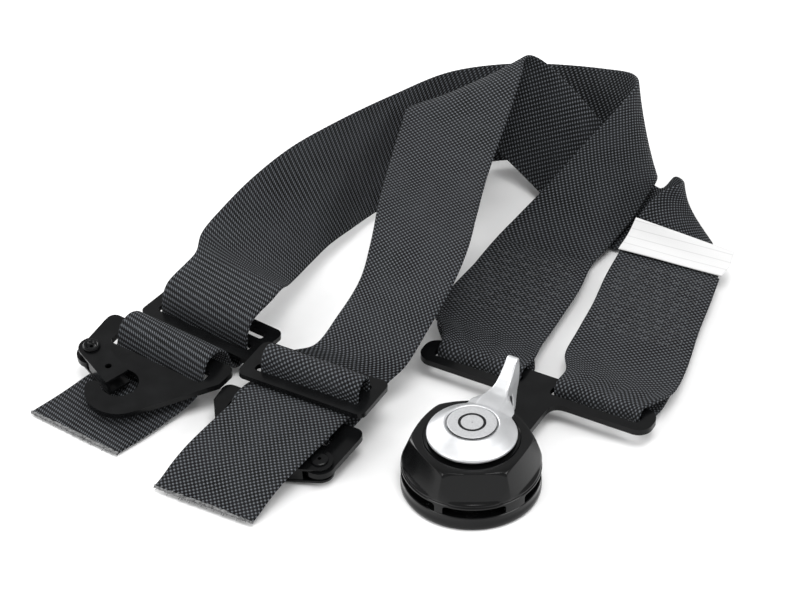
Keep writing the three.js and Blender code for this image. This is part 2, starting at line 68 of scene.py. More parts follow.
CAMERA_PLACE = (0.4725, -0.9367, 0.9084)
CAMERA_AZIMUTH = 28.5
CAMERA_ELEVATION = 37.5
CAMERA_FIELD = 14.71

camera_data = bpy.data.cameras.new("camera")
camera = bpy.data.objects.new("camera", camera_data)
bpy.context.scene.collection.objects.link(camera)
camera.location = CAMERA_PLACE
camera.rotation_euler = (math.radians(90 - CAMERA_ELEVATION), 0, math.radians(CAMERA_AZIMUTH))
camera_data.sensor_fit = "HORIZONTAL"
camera_data.angle = math.radians(CAMERA_FIELD)
camera_data.clip_start = 0.01
camera_data.clip_end = 50
bpy.context.scene.camera = camera

# ------------------------------------------------------------------ material helpers


class Nodes:
    """A small helper that builds a node tree one named step at a time."""

    def __init__(self, name):
        self.material = bpy.data.materials.new(name)
        self.material.use_nodes = True
        self.tree = self.material.node_tree
        self.tree.nodes.clear()
        self.output = self.add("ShaderNodeOutputMaterial")

    def add(self, kind, **settings):
        node = self.tree.nodes.new(kind)
        for key, value in settings.items():
            setattr(node, key, value)
        return node

    def link(self, source, target):
        self.tree.links.new(source, target)

    def put(self, value, socket):
        """Links the value if it is a socket, and otherwise sets it."""
        if hasattr(value, "is_output"):
            self.link(value, socket)
        else:
            socket.default_value = value

    def math(self, operation, first, second=0.0):
        node = self.add("ShaderNodeMath", operation=operation)
        self.put(first, node.inputs[0])
        self.put(second, node.inputs[1])
        return node.outputs[0]

    def cloth_place(self):
        """Sockets with the distance across a strip and the distance along it, in metres."""
        uv = self.add("ShaderNodeUVMap", uv_map="UVMap")
        split = self.add("ShaderNodeSeparateXYZ")
        self.link(uv.outputs["UV"], split.inputs[0])
        return split.outputs["X"], split.outputs["Y"]

    def ripple(self, place, pitch):
        """A cosine wave with one crest to each pitch."""
        return self.math("COSINE", self.math("MULTIPLY", place, 2 * math.pi / pitch))

    def noise(self, scale, detail, roughness=0.55):
        coordinates = self.add("ShaderNodeTexCoord")
        node = self.add("ShaderNodeTexNoise")
        self.link(coordinates.outputs["Object"], node.inputs["Vector"])
        node.inputs["Scale"].default_value = scale
        node.inputs["Detail"].default_value = detail
        node.inputs["Roughness"].default_value = roughness
        return node.outputs["Fac"]

    def spread(self, value, low, high, out_low, out_high):
        """Maps low to out_low and high to out_high, and goes no further at either end."""
        node = self.add("ShaderNodeMapRange")
        node.clamp = True
        self.link(value, node.inputs["Value"])
        for name, number in zip(("From Min", "From Max", "To Min", "To Max"),
                                (low, high, out_low, out_high)):
            node.inputs[name].default_value = number
        return node.outputs["Result"]

    def mix(self, factor, first, second):
        node = self.add("ShaderNodeMix", data_type="RGBA")
        self.put(factor, node.inputs[0])
        self.put(first, node.inputs[6])
        self.put(second, node.inputs[7])
        return node.outputs[2]

    def bump(self, height, distance, strength):
        node = self.add("ShaderNodeBump")
        self.link(height, node.inputs["Height"])
        node.inputs["Distance"].default_value = distance
        node.inputs["Strength"].default_value = strength
        return node.outputs["Normal"]

    def shader(self, color, roughness, metallic, normal=None, **extra):
        node = self.add("ShaderNodeBsdfPrincipled")
        self.put(color, node.inputs["Base Color"])
        self.put(roughness, node.inputs["Roughness"])
        node.inputs["Metallic"].default_value = metallic
        if normal is not None:
            self.link(normal, node.inputs["Normal"])
        for key, value in extra.items():
            node.inputs[key.replace("_", " ")].default_value = value
        self.link(node.outputs[0], self.output.inputs["Surface"])
        return self.material


def gray(level, blue=0.0):
    """A gray colour, cooled by a share of blue."""
    return (level, level * (1 + blue * 0.4), level * (1 + blue), 1)


# ------------------------------------------------------------------ materials

WEAVE_ACROSS = 2.5 * MM   # two columns of bumps
WEAVE_ALONG = 2.4 * MM    # one bump to the next in a column


def webbing_material(name, dark, light, tint=0.20):
    """Black polyester webbing: staggered oval bumps and thread-scale noise, with a matt sheen painted
    into the colour: the bump tops are painted lighter than the hollows, a painted highlight and painted
    shade.
    """
    n = Nodes(name)
    across, along = n.cloth_place()
    weave = n.math("MULTIPLY", n.ripple(across, WEAVE_ACROSS), n.ripple(along, WEAVE_ALONG))
    bumps = n.spread(weave, -0.1, 0.8, 0.0, 1.0)
    thread = n.noise(2600.0, 2.0)
    patchy = n.noise(70.0, 3.0)
    height = n.math("ADD", bumps, n.math("MULTIPLY", thread, 0.35))
    shade = n.math("ADD", n.math("MULTIPLY", bumps, 0.85), n.math("MULTIPLY", thread, 0.15))
    # Painted highlight and shade: the colour runs from dark in the hollows to lighter on the bump tops.
    base = n.mix(n.spread(shade, 0.1, 0.95, 0.0, 1.0), gray(dark, tint), gray(light, tint))
    color = n.mix(n.spread(patchy, 0.3, 0.7, 0.0, 0.12), base, gray(light * 0.6, tint))
    rough = n.spread(shade, 0.0, 1.0, 1.0, 0.40)
    return n.shader(color, rough, 0.0, n.bump(height, 0.55 * MM, 1.0), Specular_IOR_Level=0.22)


def thread_material():
    """Bonded sewing thread, a little glossier than the webbing."""
    n = Nodes("sewing_thread")
    twist = n.noise(1800.0, 2.0)
    color = n.mix(n.spread(twist, 0.3, 0.7, 0.0, 1.0), gray(0.02, 0.1), gray(0.065, 0.1))
    return n.shader(color, n.spread(twist, 0.3, 0.7, 0.45, 0.65), 0.0, n.bump(twist, 0.12 * MM, 0.8),
                    Specular_IOR_Level=0.3)


def sealed_end_material():
    """The heat-sealed, slightly frayed cut end of the webbing."""
    n = Nodes("sealed_webbing_end")
    lumps = n.noise(900.0, 4.0, 0.7)
    color = n.mix(n.spread(lumps, 0.38, 0.62, 0.0, 1.0), gray(0.03, 0.05), gray(0.20, 0.02))
    return n.shader(color, n.spread(lumps, 0.3, 0.7, 0.5, 0.8), 0.0, n.bump(lumps, 0.4 * MM, 0.9))


def label_material():
    """White printed-cloth label: a fine plain weave and faint plain rules, with no lettering."""
    n = Nodes("label_cloth")
    thread_pitch = 0.7 * MM
    rule_pitch = 4.2 * MM
    across, along = n.cloth_place()
    threads = n.math("MULTIPLY", n.ripple(across, thread_pitch), n.ripple(along, thread_pitch))
    weave = n.spread(threads, -1.0, 1.0, 0.0, 1.0)
    ink = n.spread(n.ripple(along, rule_pitch), 0.93, 0.97, 0.0, 0.32)
    cloth = n.mix(weave, gray(0.52), gray(0.64))
    color = n.mix(ink, cloth, gray(0.25))
    return n.shader(color, n.spread(weave, 0.0, 1.0, 0.75, 0.6), 0.0, n.bump(weave, 0.08 * MM, 0.6))


def black_metal_material(name, level, rough_low, rough_high, grain, shine):
    """Black-coated steel or casting: satin, with fine orange-peel and slight uneven gloss."""
    n = Nodes(name)
    peel = n.noise(grain, 3.0)
    patchy = n.noise(90.0, 4.0)
    color = n.mix(n.spread(patchy, 0.3, 0.7, 0.0, 1.0), gray(level, 0.12), gray(level * 1.9, 0.12))
    rough = n.spread(patchy, 0.25, 0.75, rough_low, rough_high)
    return n.shader(color, rough, 0.0, n.bump(peel, 0.03 * MM, 0.4), Specular_IOR_Level=shine)


def alloy_material(name, level, rough_low, rough_high):
    """Bare satin alloy with a faint tumbled grain."""
    n = Nodes(name)
    grain = n.noise(1500.0, 2.0)
    patchy = n.noise(120.0, 4.0)
    color = n.mix(n.spread(patchy, 0.3, 0.7, 0.0, 1.0), gray(level * 0.9, 0.03), gray(level, 0.03))
    rough = n.spread(patchy, 0.25, 0.75, rough_low, rough_high)
    return n.shader(color, rough, 0.85, n.bump(grain, 0.02 * MM, 0.5))


def badge_material():
    """Plain pewter-coloured badge with turned rings and no mark."""
    n = Nodes("plain_badge")
    grain = n.noise(1200.0, 2.0)
    color = n.mix(n.spread(grain, 0.3, 0.7, 0.0, 1.0), gray(0.42, 0.03), gray(0.50, 0.03))
    return n.shader(color, n.spread(grain, 0.3, 0.7, 0.38, 0.5), 0.4, n.bump(grain, 0.02 * MM, 0.4))


def floor_material():
    """Pale, matt backdrop paper."""
    n = Nodes("floor_paper")
    grain = n.noise(60.0, 3.0)
    color = n.mix(n.spread(grain, 0.3, 0.7, 0.0, 1.0), gray(0.86), gray(0.88))
    return n.shader(color, 0.85, 0.0)


webbing_look = webbing_material("webbing_weave", 0.0005, 0.105)
thread_look = thread_material()
sealed_look = sealed_end_material()
label_look = label_material()
steel_look = black_metal_material("black_steel", 0.0025, 0.18, 0.26, 700.0, 0.14)
casting_look = black_metal_material("black_casting", 0.0015, 0.16, 0.24, 420.0, 0.22)
alloy_look = alloy_material("satin_alloy", 0.68, 0.36, 0.46)
bright_look = alloy_material("bright_steel", 0.55, 0.2, 0.35)
badge_look = badge_material()
ring_look = black_metal_material("dark_ring", 0.006, 0.3, 0.4, 700.0, 0.2)
floor_look = floor_material()

# ------------------------------------------------------------------ mesh helpers


def new_piece(name, points, faces, material, uvs=None, smooth=True):
    """A mesh object from points in metres; uvs, if given, has one pair per point."""
    mesh = bpy.data.meshes.new(name)
    mesh.from_pydata([tuple(p) for p in points], [], faces)
    if uvs is not None:
        layer = mesh.uv_layers.new(name="UVMap")
        indices = np.zeros(len(mesh.loops), dtype=np.int32)
        mesh.loops.foreach_get("vertex_index", indices)
        layer.data.foreach_set("uv", np.asarray(uvs, dtype=np.float32)[indices].ravel())
    mesh.materials.append(material)
    mesh.polygons.foreach_set("use_smooth", [smooth] * len(mesh.polygons))
    mesh.update()
    piece = bpy.data.objects.new(name, mesh)
    bpy.context.scene.collection.objects.link(piece)
    return piece


def outward(piece):
    """Turns every face of a closed mesh outward."""
    editor = bmesh.new()
    editor.from_mesh(piece.data)
    bmesh.ops.recalc_face_normals(editor, faces=editor.faces)
    editor.to_mesh(piece.data)
    editor.free()
    return piece


def bake_modifiers(piece):
    """Replaces the mesh with the result of its modifiers."""
    bpy.context.view_layer.update()
    evaluated = piece.evaluated_get(bpy.context.evaluated_depsgraph_get())
    mesh = bpy.data.meshes.new_from_object(evaluated)
    piece.modifiers.clear()
    piece.data = mesh
    return piece


def combine(piece, other, operation):
    """Joins another mesh to a piece or cuts it out of the piece, and removes the other mesh."""
    step = piece.modifiers.new("combine", "BOOLEAN")
    step.operation = operation
    step.solver = "EXACT"
    step.object = other
    bake_modifiers(piece)
    bpy.data.objects.remove(other)


def shade_smooth(piece, sharp_angle=None):
    """Smooth shading all over, apart from edges sharper than the angle in degrees."""
    piece.data.polygons.foreach_set("use_smooth", [True] * len(piece.data.polygons))
    if sharp_angle is not None:
        piece.data.set_sharp_from_angle(angle=math.radians(sharp_angle))


def finish_piece(piece, body, slot, *nodes):
    """Puts a piece on its body, in place of the CAD nodes it redraws. The slot argument is not used."""
    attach(piece, body)
    if nodes:
        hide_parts(*nodes)
    return piece


BEVEL_SEGMENTS = 4
BEVEL_ANGLE = 40        # edges sharper than this are rounded
PLATE_SHARP_ANGLE = 35
TURNED_SHARP_ANGLE = 38
RIVET_SHARP_ANGLE = 40


def bevelled(node, name, material, width):
    """A piece with the CAD node's shape and softly rounded edges."""
    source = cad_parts[node]
    mesh = source.data.copy()
    mesh.name = name
    mesh.materials.clear()
    mesh.materials.append(material)
    piece = bpy.data.objects.new(name, mesh)
    bpy.context.scene.collection.objects.link(piece)
    editor = bmesh.new()
    editor.from_mesh(mesh)
    bmesh.ops.remove_doubles(editor, verts=editor.verts, dist=0.002 * MM)
    bmesh.ops.dissolve_limit(editor, angle_limit=math.radians(1), verts=editor.verts, edges=editor.edges)
    editor.to_mesh(mesh)
    editor.free()
    if "custom_normal" in mesh.attributes:
        mesh.attributes.remove(mesh.attributes["custom_normal"])
    bevel = piece.modifiers.new("bevel", "BEVEL")
    bevel.width = width
    bevel.segments = BEVEL_SEGMENTS
    bevel.limit_method = "ANGLE"
    bevel.angle_limit = math.radians(BEVEL_ANGLE)
    bevel.use_clamp_overlap = True
    bake_modifiers(piece)
    shade_smooth(piece, PLATE_SHARP_ANGLE)
    weighted = piece.modifiers.new("weighted", "WEIGHTED_NORMAL")
    weighted.keep_sharp = True
    bake_modifiers(piece)
    return piece


def lathe(profile, segments, shape=None):
    """Points and faces of an outline turned about Z. profile is closed, in (radius, height) metres;
    shape, if given, may change a point: shape(radius, height, angle) gives the new pair."""
    points = []
    for i in range(segments):
        angle = 2 * math.pi * i / segments
        for radius, height in profile:
            r, z = shape(radius, height, angle) if shape else (radius, height)
            points.append((r * math.cos(angle), r * math.sin(angle), z))
    count = len(profile)
    faces = []
    for i in range(segments):
        for k in range(count):
            a = i * count + k
            b = i * count + (k + 1) % count
            c = ((i + 1) % segments) * count
            faces.append((a, b, c + (k + 1) % count, c + k))
    return points, faces


def smooth_profile(points, step):
    """Fills in an outline of (radius, height) corners so that no stretch is longer than step."""
    filled = []
    for (r0, z0), (r1, z1) in zip(points, points[1:] + points[:1]):
        pieces = max(1, math.ceil(math.hypot(r1 - r0, z1 - z0) / step))
        for i in range(pieces):
            t = i / pieces
            filled.append((r0 + (r1 - r0) * t, z0 + (z1 - z0) * t))
    return filled


def turned(outline, step, segments, shape=None):
    """Points and faces of an outline of (radius, height) in the CAD's millimetres, turned about Z."""
    profile = smooth_profile([(r * MM, z * MM) for r, z in outline], step)
    return lathe(profile, segments, shape)


def prism_faces(count):
    """Faces of a prism with count points at each end, listed one end after the other."""
    faces = [tuple(range(count)), tuple(range(2 * count - 1, count - 1, -1))]
    return faces + [(k, (k + 1) % count, count + (k + 1) % count, count + k) for k in range(count)]


# ------------------------------------------------------------------ webbing


def edge_curve(points, counts):
    """A centripetal Catmull-Rom curve through points, with counts[i] steps on span i."""
    points = np.asarray(points, dtype=float)
    padded = np.vstack([2 * points[0] - points[1], points, 2 * points[-1] - points[-2]])
    samples = []
    for i, steps in enumerate(counts):
        p0, p1, p2, p3 = padded[i:i + 4]
        pairs = ((p0, p1), (p1, p2), (p2, p3))
        d0, d1, d2 = (max(np.linalg.norm(b - a) ** 0.5, 1e-4) for a, b in pairs)
        m1 = ((p1 - p0) / d0 - (p2 - p0) / (d0 + d1) + (p2 - p1) / d1) * d1
        m2 = ((p2 - p1) / d1 - (p3 - p1) / (d1 + d2) + (p3 - p2) / d2) * d1
        t = (np.arange(steps) / steps)[:, None]
        samples.append(p1 + m1 * t + (3 * (p2 - p1) - 2 * m1 - m2) * t**2
                       + (2 * (p1 - p2) + m1 + m2) * t**3)
    samples.append(points[-1:])
    return np.vstack(samples)


class Ribbon:
    """A strip of webbing between two edge curves, with distances along each edge."""

    def __init__(self, stations, step=1.5 * MM, least=3):
        left = np.array([s[0] for s in stations], dtype=float) * MM
        right = np.array([s[1] for s in stations], dtype=float) * MM
        spans = np.maximum(np.linalg.norm(np.diff(left, axis=0), axis=1),
                           np.linalg.norm(np.diff(right, axis=0), axis=1))
        counts = [max(least, math.ceil(length / step)) for length in spans]
        self.left = edge_curve(left, counts)
        self.right = edge_curve(right, counts)
        self.along_left = self.run(self.left)
        self.along_right = self.run(self.right)

    @staticmethod
    def run(points):
        """The distance along a line of points, at each of them."""
        steps = np.linalg.norm(np.diff(points, axis=0), axis=1)
        return np.concatenate([[0.0], np.cumsum(steps)])

    @property
    def length(self):
        """The mean length of the two edges."""
        return float((self.along_left[-1] + self.along_right[-1]) / 2)

    def column(self, w):
        """Points, unit normals and distances along the strip, at a share w of the way across."""
        points = self.left + (self.right - self.left) * w
        tangent = np.gradient(points, axis=0)
        normal = np.cross(self.right - self.left, tangent)
        normal /= np.maximum(np.linalg.norm(normal, axis=1, keepdims=True), 1e-12)
        along = self.along_left + (self.along_right - self.along_left) * w
        return points, normal, along

    def place(self, w, distance, lift):
        """A point on the strip at share w across and a distance along it, lifted off its middle."""
        points, normal, along = self.column(w)
        at = [np.interp(distance, along, points[:, k]) for k in range(3)]
        direction = [np.interp(distance, along, normal[:, k]) for k in range(3)]
        return np.array(at) + lift * np.array(direction)

    def end(self, w, back=0.0):
        """The strip's last point at share w across, or a point a little way back from it."""
        points, _, along = self.column(w)
        return np.array([np.interp(along[-1] - back, along, points[:, k]) for k in range(3)])

    def build(self, name, material, thickness, relief=None, edge=0.9 * MM, columns=26):
        """The closed strip with round selvages. relief(w, along) lifts the strip off its middle."""
        selvage = np.array([0, 0.003, 0.009, 0.018])
        inner = np.linspace(0.035, 0.965, columns)
        shares = np.concatenate([selvage, inner, 1 - selvage[::-1]])
        rings = []
        for side in (1, -1):
            for w in shares if side > 0 else shares[-2:0:-1]:
                points, normal, along = self.column(w)
                inset = min(w, 1 - w) * WEB_WIDTH
                curve = 1 - max(0.0, 1 - inset / edge) ** 2
                lift = side * thickness / 2 * math.sqrt(max(curve, 0.0))
                bulge = relief(w, along)[:, None] if relief else 0.0
                rings.append((points + normal * (lift + bulge), w * WEB_WIDTH, along))
        rows, around = len(self.left), len(rings)
        points = np.stack([r[0] for r in rings], axis=1).reshape(-1, 3)
        uvs = np.stack([np.stack([np.full(rows, r[1]), r[2]], axis=1) for r in rings], axis=1)
        faces = []
        for i in range(rows - 1):
            for k in range(around):
                m = (k + 1) % around
                faces.append((i * around + k, i * around + m, (i + 1) * around + m, (i + 1) * around + k))
        top = len(shares)
        for row, flip in ((0, False), (rows - 1, True)):
            for k in range(top - 1):
                below = (around - k) % around
                next_below = (around - k - 1) if k < top - 2 else top - 1
                corners = [k, k + 1, next_below, below]
                corners = list(dict.fromkeys(row * around + c for c in corners))
                faces.append(tuple(reversed(corners)) if flip else tuple(corners))
        piece = new_piece(name, points, faces, material, uvs.reshape(-1, 2))
        return outward(piece)


TONGUE_MID = 9.4
TONGUE_LOOP_Y = 70
TONGUE_LOOP_RADIUS = 4


def tongue_loop(left, right):
    """Half a turn round the tongue's rear bar, from the top layer to the bottom layer."""
    stations = []
    for angle in range(90, 271, 30):
        y = TONGUE_LOOP_Y + TONGUE_LOOP_RADIUS * math.cos(math.radians(angle))
        z = TONGUE_MID + TONGUE_LOOP_RADIUS * math.sin(math.radians(angle))
        stations.append([[left, y, z], [right, y, z]])
    return stations


# Each hook as it lies in the CAD: the middle of its bar, its turn about Z, how far its nose slopes
# down, and its roll, which is half a turn for the hook that lies face down.
HOOKS = {
    "left": ((-159, 3.6, 14.5), -7, 6.9, 0),
    "right": ((-90, -7, 10.5), 0, 6.3, 180),
}


def run_stations(hook, run):
    """Stations across a hook's webbing run: (distance toward the nose, height, sideways shift)."""
    (hook_x, hook_y, _), turn_degrees, _, roll = HOOKS[hook]
    turn = math.radians(turn_degrees)
    side = -1 if roll else 1
    stations = []
    for forward, height, *rest in run:
        shift = rest[0] if rest else 0
        pair = []
        for end in (-1, 1):
            sideways = side * end * WEB / 2 + shift
            x = hook_x + sideways * math.cos(turn) + forward * math.sin(turn)
            y = hook_y + sideways * math.sin(turn) - forward * math.cos(turn)
            pair.append([x, y, height])
        stations.append(pair)
    return stations


# The strips' edge points in the CAD's millimetres, left edge then right edge.
LEFT_STRAP = [
    [[-69, 160, 7.6], [-20, 166, 7.6]],
    [[-70, 140, 7.2], [-16, 144, 7.2]],
    [[-71, 115, 7.2], [-14, 117, 7.2]],
    [[-69, 94, 8.6], [-12, 95, 8.6]],
    [[-57, 80, 12], [-8.5, 80, 12]],
    *tongue_loop(-52, -8.5),
    [[-57, 80, 4.6], [-8.5, 80, 4.6]],
    [[-67, 94, 3.4], [-15, 94, 3.4]],
    [[-70, 115, 3.6], [-17, 116, 3.4]],
    [[-72, 140, 3.8], [-19, 142, 3.4]],
    [[-72, 166, 4.2], [-21, 170, 4.2]],
    [[-67, 180, 11], [-19, 187, 6]],
    [[-60, 193, 21], [-17, 205, 9]],
    [[-49, 216, 38], [-17, 223, 13]],
    [[-39, 239, 53], [-19, 237, 13]],
    [[-38, 251, 56], [-26, 246, 9]],
    [[-45, 261, 54], [-36, 251, 4.5]],
    [[-63, 267, 48], [-56, 247, 2.6]],
    [[-94, 264, 43], [-84, 237, 2.4]],
    [[-115, 254, 42], [-102, 227, 2.8]],
    [[-135, 235, 42], [-117, 209, 3]],
    [[-149, 203, 43], [-127, 182, 3.4]],
    [[-161, 162, 46], [-134, 155, 5]],
    [[-170, 134, 45], [-135, 133, 9]],
    [[-177, 110, 40], [-136, 113, 12]],
    [[-180, 88, 36], [-134, 90, 16]],
    [[-181, 68, 32], [-131, 66, 21]],
]

LEFT_STRAP_RUN = [
    [-50, 29.5, 1], [-42, 27.6, 1], [-35, 26, 0.5], [-29.4, 23.6], [-26, 19.4], [-24.8, 14], [-24.6, 9.6],
    [-23.2, 5.8], [-19.8, 4.4], [-16, 5.2], [-13.2, 8.4], [-11.6, 12.6], [-9.4, 17.4], [-5.4, 21.4],
    [0, 22.8], [5, 20.8], [7.4, 16], [8.6, 11], [12.5, 7.4], [20, 4.8, -1], [30, 3.2, -3],
    [44, 2.2, -5], [61, 1.6, -8],
]

RIGHT_STRAP = [
    [[-12, 180, 8], [40, 182, 8]],
    [[-10, 160, 7.4], [44, 162, 7.4]],
    [[-6, 138, 7.2], [48, 140, 7.2]],
    [[-3, 114, 7.4], [54, 114, 7.4]],
    [[0, 95, 8.6], [57, 94, 8.6]],
    [[7.5, 80, 12], [56, 80, 12]],
    *tongue_loop(8.5, 52),
    [[8.5, 80, 4.6], [55, 80, 4.6]],
    [[3, 95, 3.4], [54, 95, 3.4]],
    [[-1, 114, 3.2], [51, 114, 3.2]],
    [[-7, 138, 3.2], [44, 140, 3.2]],
    [[-11, 160, 3.4], [40, 162, 3.4]],
    [[-13, 179, 4.6], [38, 182, 4]],
    [[-11.5, 189, 11], [36, 191, 3.6]],
    [[-9, 198, 21], [31, 201, 3.2]],
    [[-4, 207, 28.5], [25, 210, 2.8]],
    [[2, 212, 31.8], [18, 216.5, 2.6]],
    [[3, 218, 30], [11, 217, 2.4]],
    [[-4, 227, 26], [-1, 206, 2.4]],
    [[-17, 237, 8], [-16, 188, 2.4]],
    [[-36, 238, 18], [-42, 194, 2.6]],
    [[-52, 238, 38], [-68, 208, 5]],
    [[-84, 246, 55], [-98, 218, 15]],
    [[-91, 242, 61], [-118, 216, 26]],
    [[-92, 234, 64], [-134, 208, 36]],
    [[-88, 222, 63], [-138, 196, 41]],
    [[-83, 199, 55], [-135, 184, 40]],
    [[-74, 158, 45], [-125, 151, 36]],
    [[-66, 132, 42], [-116, 125, 35]],
    [[-58, 107, 40], [-107, 101, 31]],
    [[-54, 83, 35], [-101, 80, 25]],
    [[-54, 60, 26], [-99, 54, 21]],
    [[-55, 40, 18], [-101, 36, 16]],
]

RIGHT_STRAP_RUN = [
    [-37, 12.6, 5], [-29, 9.4, 4.6], [-20, 7, 3.4], [-12, 5.2, 2], [-5, 4.4, 1], [0, 4.4, 0.4],
    [4.4, 5.8], [7.6, 9.2], [7.9, 12], [5, 14.4], [0, 15.1, 0.4], [-4, 15.2, 1], [-10, 14.6, 2.6],
    [-16, 14.4, 4], [-19.8, 16.4, 4.8], [-21.2, 20.5, 5], [-21.8, 24.5, 5], [-20.6, 28.4, 5],
    [-17, 30.4, 5], [-13.2, 29, 5], [-11.2, 25.5, 5], [-10.8, 20.8, 5], [-9, 18, 4.6], [-5, 17.5, 4.2],
    [1, 17.3, 3.8], [8, 16.6, 3], [20, 14.8, 1], [31, 13, -1], [42, 10.8, -3], [52, 7.6, -4.6],
    [59, 4.4, -5.6], [64, 2.6, -6.4],
]

LABEL = [
    [[-12.5, 179, 9.8], [40.5, 183, 9.6]],
    [[-11.4, 186, 13.2], [42, 188.5, 12]],
    [[-10.2, 193.5, 20.4], [41.5, 195, 16.6]],
]

# How far along each strap, in metres from its sewn end, the tongue's bar comes.
LEFT_TONGUE_AT = 92 * MM
RIGHT_TONGUE_AT = 113 * MM


def strap_relief(tongue_at):
    """Soft bunching where a strap is squeezed into the tongue, and slight unevenness elsewhere."""
    bunch_reach = 17 * MM
    slot_reach = 5 * MM

    def relief(w, along):
        near = np.exp(-((along - tongue_at) / bunch_reach) ** 2)
        slot = np.exp(-((along - tongue_at) / slot_reach) ** 2)
        wide = 0.85 * np.cos(2 * math.pi * (w * 3.4 + 0.12))
        fine = 0.35 * np.cos(2 * math.pi * (w * 6.3 + 0.4))
        uneven = 0.22 * np.sin(along / (31 * MM) + 5 * w) + 0.12 * np.sin(along / (11 * MM) + 9 * w)
        ends = np.clip(along / (12 * MM), 0, 1)
        return MM * ((wide + fine) * near * (1 - 0.75 * slot) + 0.8 * uneven * ends)
    return relief


left_relief = strap_relief(LEFT_TONGUE_AT)
right_relief = strap_relief(RIGHT_TONGUE_AT)
left_ribbon = Ribbon(LEFT_STRAP + run_stations("left", LEFT_STRAP_RUN))
right_ribbon = Ribbon(RIGHT_STRAP + run_stations("right", RIGHT_STRAP_RUN))
left_webbing = left_ribbon.build("left_webbing", webbing_look, WEB_THICKNESS, left_relief)
right_webbing = right_ribbon.build("right_webbing", webbing_look, WEB_THICKNESS, right_relief)
finish_piece(left_webbing, "harness", "webbing", "left_strap")
finish_piece(right_webbing, "harness", "webbing", "right_strap")


def label_relief(w, along):
    """A slight ripple in the sewn-on label."""
    return 0.25 * MM * np.sin(along / (3 * MM) + 6 * w)


label_ribbon = Ribbon(LABEL, step=1.0 * MM)
label_cloth = label_ribbon.build("label_cloth", label_look, LABEL_THICKNESS, label_relief,
                                 edge=0.2 * MM, columns=30)
finish_piece(label_cloth, "harness", "label", "strap_label")


# ------------------------------------------------------------------ stitching and sealed ends


def thread_tube(path, radius, sides):
    """Points and faces of a thin thread along a list of points."""
    path = np.asarray(path)
    tangents = np.gradient(path, axis=0)
    tangents /= np.linalg.norm(tangents, axis=1, keepdims=True)
    points = []
    for point, tangent in zip(path, tangents):
        side = np.cross(tangent, (0.1, 0.2, 1.0))
        side /= np.linalg.norm(side)
        up = np.cross(side, tangent)
        for k in range(sides):
            angle = 2 * math.pi * k / sides
            points.append(point + radius * (math.cos(angle) * side + math.sin(angle) * up))
    faces = []
    for i in range(len(path) - 1):
        for k in range(sides):
            m = (k + 1) % sides
            faces.append((i * sides + k, i * sides + m, (i + 1) * sides + m, (i + 1) * sides + k))
    faces.append(tuple(range(sides))[::-1])
    faces.append(tuple((len(path) - 1) * sides + k for k in range(sides)))
    return points, faces


def add_tube(points, faces, path, radius, sides):
    """Adds a thread to a list of points and a list of faces."""
    tube_points, tube_faces = thread_tube(path, radius, sides)
    faces += [tuple(len(points) + k for k in face) for face in tube_faces]
    points += tube_points


def stitch_rows(name, ribbon, relief_at, rows, first, spacing, side):
    """Zigzag rows sewn across a strap's double layer. side is +1 or -1: which face they show on."""
    pitch = 2.0 * MM
    swing = 1.1 * MM
    margin = 4.5 * MM
    high = WEB_THICKNESS / 2 + 0.12 * MM
    low = WEB_THICKNESS / 2 - 0.28 * MM
    dice = random.Random(7)
    points, faces = [], []
    for row in range(rows):
        middle = first + row * spacing
        path = []
        across = margin
        flip = 1
        while across < WEB_WIDTH - margin:
            distance = middle + flip * swing + dice.uniform(-0.2, 0.2) * MM
            share = across / WEB_WIDTH
            relief = relief_at(share, np.array([distance]))[0]
            path.append(ribbon.place(share, distance, side * low + relief))
            middle_share = (across + pitch / 2) / WEB_WIDTH
            path.append(ribbon.place(middle_share, middle, side * high + relief))
            across += pitch
            flip = -flip
        add_tube(points, faces, path, 0.33 * MM, 5)
    return outward(new_piece(name, points, faces, thread_look))


left_stitches = stitch_rows("left_stitching", left_ribbon, left_relief, 9, 9 * MM, 5.6 * MM, -1)
right_stitches = stitch_rows("right_stitching", right_ribbon, right_relief, 11, 7 * MM, 5.2 * MM, -1)
finish_piece(left_stitches, "harness", "webbing")
finish_piece(right_stitches, "harness", "webbing")


def sealed_end(name, ribbon):
    """The melted edge of a strap's cut end: a low lumpy bead, with a few stray filaments."""
    columns = 70
    filaments = 36
    stub = 0.6 * MM
    dice = random.Random(11)
    bead = [ribbon.end(i / columns) for i in range(columns + 1)]
    points, faces = thread_tube(bead, 0.85 * MM, 8)
    points = [p + np.array([dice.uniform(-0.2, 0.2) * MM for _ in range(3)]) for p in points]
    for _ in range(filaments):
        share = dice.uniform(0.01, 0.99)
        start = ribbon.end(share)
        out = start - ribbon.end(share, 5 * MM)
        out /= np.linalg.norm(out)
        reach = dice.uniform(0.5, 1.5) * MM
        sway = np.array([dice.uniform(-0.3, 0.3) for _ in range(3)])
        halfway = start + (out + sway * 0.4) * (stub + reach * 0.5)
        path = [start, halfway, start + (out + sway) * (stub + reach)]
        add_tube(points, faces, path, 0.13 * MM, 4)
    return outward(new_piece(name, points, faces, sealed_look))


left_end = finish_piece(sealed_end("left_sealed_end", left_ribbon), "harness", "webbing")
right_end = finish_piece(sealed_end("right_sealed_end", right_ribbon), "harness", "webbing")

# ------------------------------------------------------------------ buckle

BUCKLE_RADIUS = 31.5
COVER_LOW = 7.2
SLOT_TOP = 11.9
SLOT_ANGLES = (0, 78, 150, 210, 282)
FACET_ANGLES = (30, 90, 150, 210, 270, 330)
FACET_TOP = 27.0      # height at which a facet lies FACET_REACH from the axis
FACET_REACH = 25.6
FACET_FLARE = 0.32    # how far a facet leans out for each mm down
FACET_BOW = 0.78      # a facet's plan is this much of the way from round to straight
FACET_FOOT = 14.6     # height at which a facet ends
FACET_FADE = 1.4      # how far below its foot a facet runs out
FACET_INNER = 23      # the facets leave everything inside this radius alone
FACET_EDGE = 1.1      # how softly a facet meets the round wall


